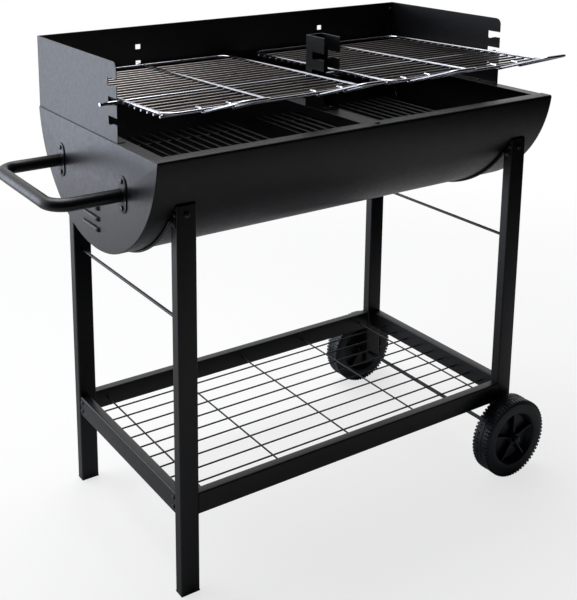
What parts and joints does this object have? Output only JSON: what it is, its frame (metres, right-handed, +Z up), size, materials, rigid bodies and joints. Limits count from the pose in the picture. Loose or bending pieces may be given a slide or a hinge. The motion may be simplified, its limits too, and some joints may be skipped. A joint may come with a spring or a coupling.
{
  "type": "half-barrel charcoal grill cart",
  "caption": "Half-barrel charcoal grill on a wheeled leg frame, with lift-out cooking grids in a notched windshield, charcoal grates, a mesh shelf and a push handle.",
  "frame": {"origin": "middle of the underside of the whole cart's bounding box, at floor level", "axes": "+X along the barrel towards the wheels (the push handle is at -X), +Y from the cook's side towards the windshield back, +Z up"},
  "size_m": [1.007, 0.5896, 0.9062],
  "materials": {
    "black_coat": "satin black heat-resistant powder coat on steel sheet and tube",
    "chrome_wire": "bright chrome-plated steel wire",
    "grate_steel": "black heat-resistant coat on welded steel bars",
    "black_plastic": "moulded black plastic, satin",
    "plated_fastener": "zinc-plated steel"
  },
  "bodies": {
    "cart": {"axle": "plated_fastener", "axle_caps": "black_plastic", "axle_spacers": "plated_fastener", "barrel_bolts": "plated_fastener", "barrel_nuts": "plated_fastener", "barrel_shell": "black_coat", "bracket_bolts": "plated_fastener", "bracket_nuts": "plated_fastener", "centre_channel": "black_coat", "channel_screws": "plated_fastener", "cradle_bolts": "plated_fastener", "foot_plugs": "black_plastic", "front_handle_flange": "black_coat", "front_left_leg": "black_coat", "front_right_leg": "black_coat", "front_shelf_rail": "black_coat", "grid_bracket": "black_coat", "handle_nuts": "plated_fastener", "handle_screws": "plated_fastener", "left_cradle_rod": "black_coat", "left_end_plate": "black_coat", "left_shelf_rail": "black_coat", "left_tie_rod": "black_coat", "leg_screws": "plated_fastener", "push_handle_tube": "black_coat", "rail_screws": "plated_fastener", "rear_handle_flange": "black_coat", "rear_left_leg": "black_coat", "rear_right_leg": "black_coat", "rear_shelf_rail": "black_coat", "right_cradle_rod": "black_coat", "right_end_plate": "black_coat", "right_shelf_rail": "black_coat", "right_tie_rod": "black_coat", "shelf_mesh": "black_coat", "wheel_leg_plugs": "black_plastic", "windshield_back": "black_coat", "windshield_bolts": "plated_fastener", "windshield_left": "black_coat", "windshield_nuts": "plated_fastener", "windshield_right": "black_coat"},
    "front_wheel": {"front_wheel": "black_plastic"},
    "rear_wheel": {"rear_wheel": "black_plastic"},
    "left_cooking_grid": {"left_grid_frame": "chrome_wire", "left_grid_loops": "chrome_wire", "left_grid_wires": "chrome_wire"},
    "right_cooking_grid": {"right_grid_frame": "chrome_wire", "right_grid_loops": "chrome_wire", "right_grid_wires": "chrome_wire"},
    "left_charcoal_grate": {"left_charcoal_grate": "grate_steel"},
    "right_charcoal_grate": {"right_charcoal_grate": "grate_steel"}
  },
  "joints": [
    {"name": "front_wheel_spin", "type": "hinge", "parent": "cart", "child": "front_wheel", "pos_m": [0.419, -0.19925, 0.081], "axis": [0, 1, 0], "continuous": true},
    {"name": "rear_wheel_spin", "type": "hinge", "parent": "cart", "child": "rear_wheel", "pos_m": [0.419, 0.26825, 0.081], "axis": [0, 1, 0], "continuous": true},
    {"name": "left_grid_draw", "type": "slide", "parent": "cart", "child": "left_cooking_grid", "axis": [0, -0.9613, 0.2756], "range_m": [0, 0.4]},
    {"name": "right_grid_draw", "type": "slide", "parent": "cart", "child": "right_cooking_grid", "axis": [0, -0.9613, 0.2756], "range_m": [0, 0.4]},
    {"name": "left_grate_lift", "type": "slide", "parent": "cart", "child": "left_charcoal_grate", "axis": [0, 0, 1], "range_m": [0, 0.12]},
    {"name": "right_grate_lift", "type": "slide", "parent": "cart", "child": "right_charcoal_grate", "axis": [0, 0, 1], "range_m": [0, 0.12]}
  ]
}
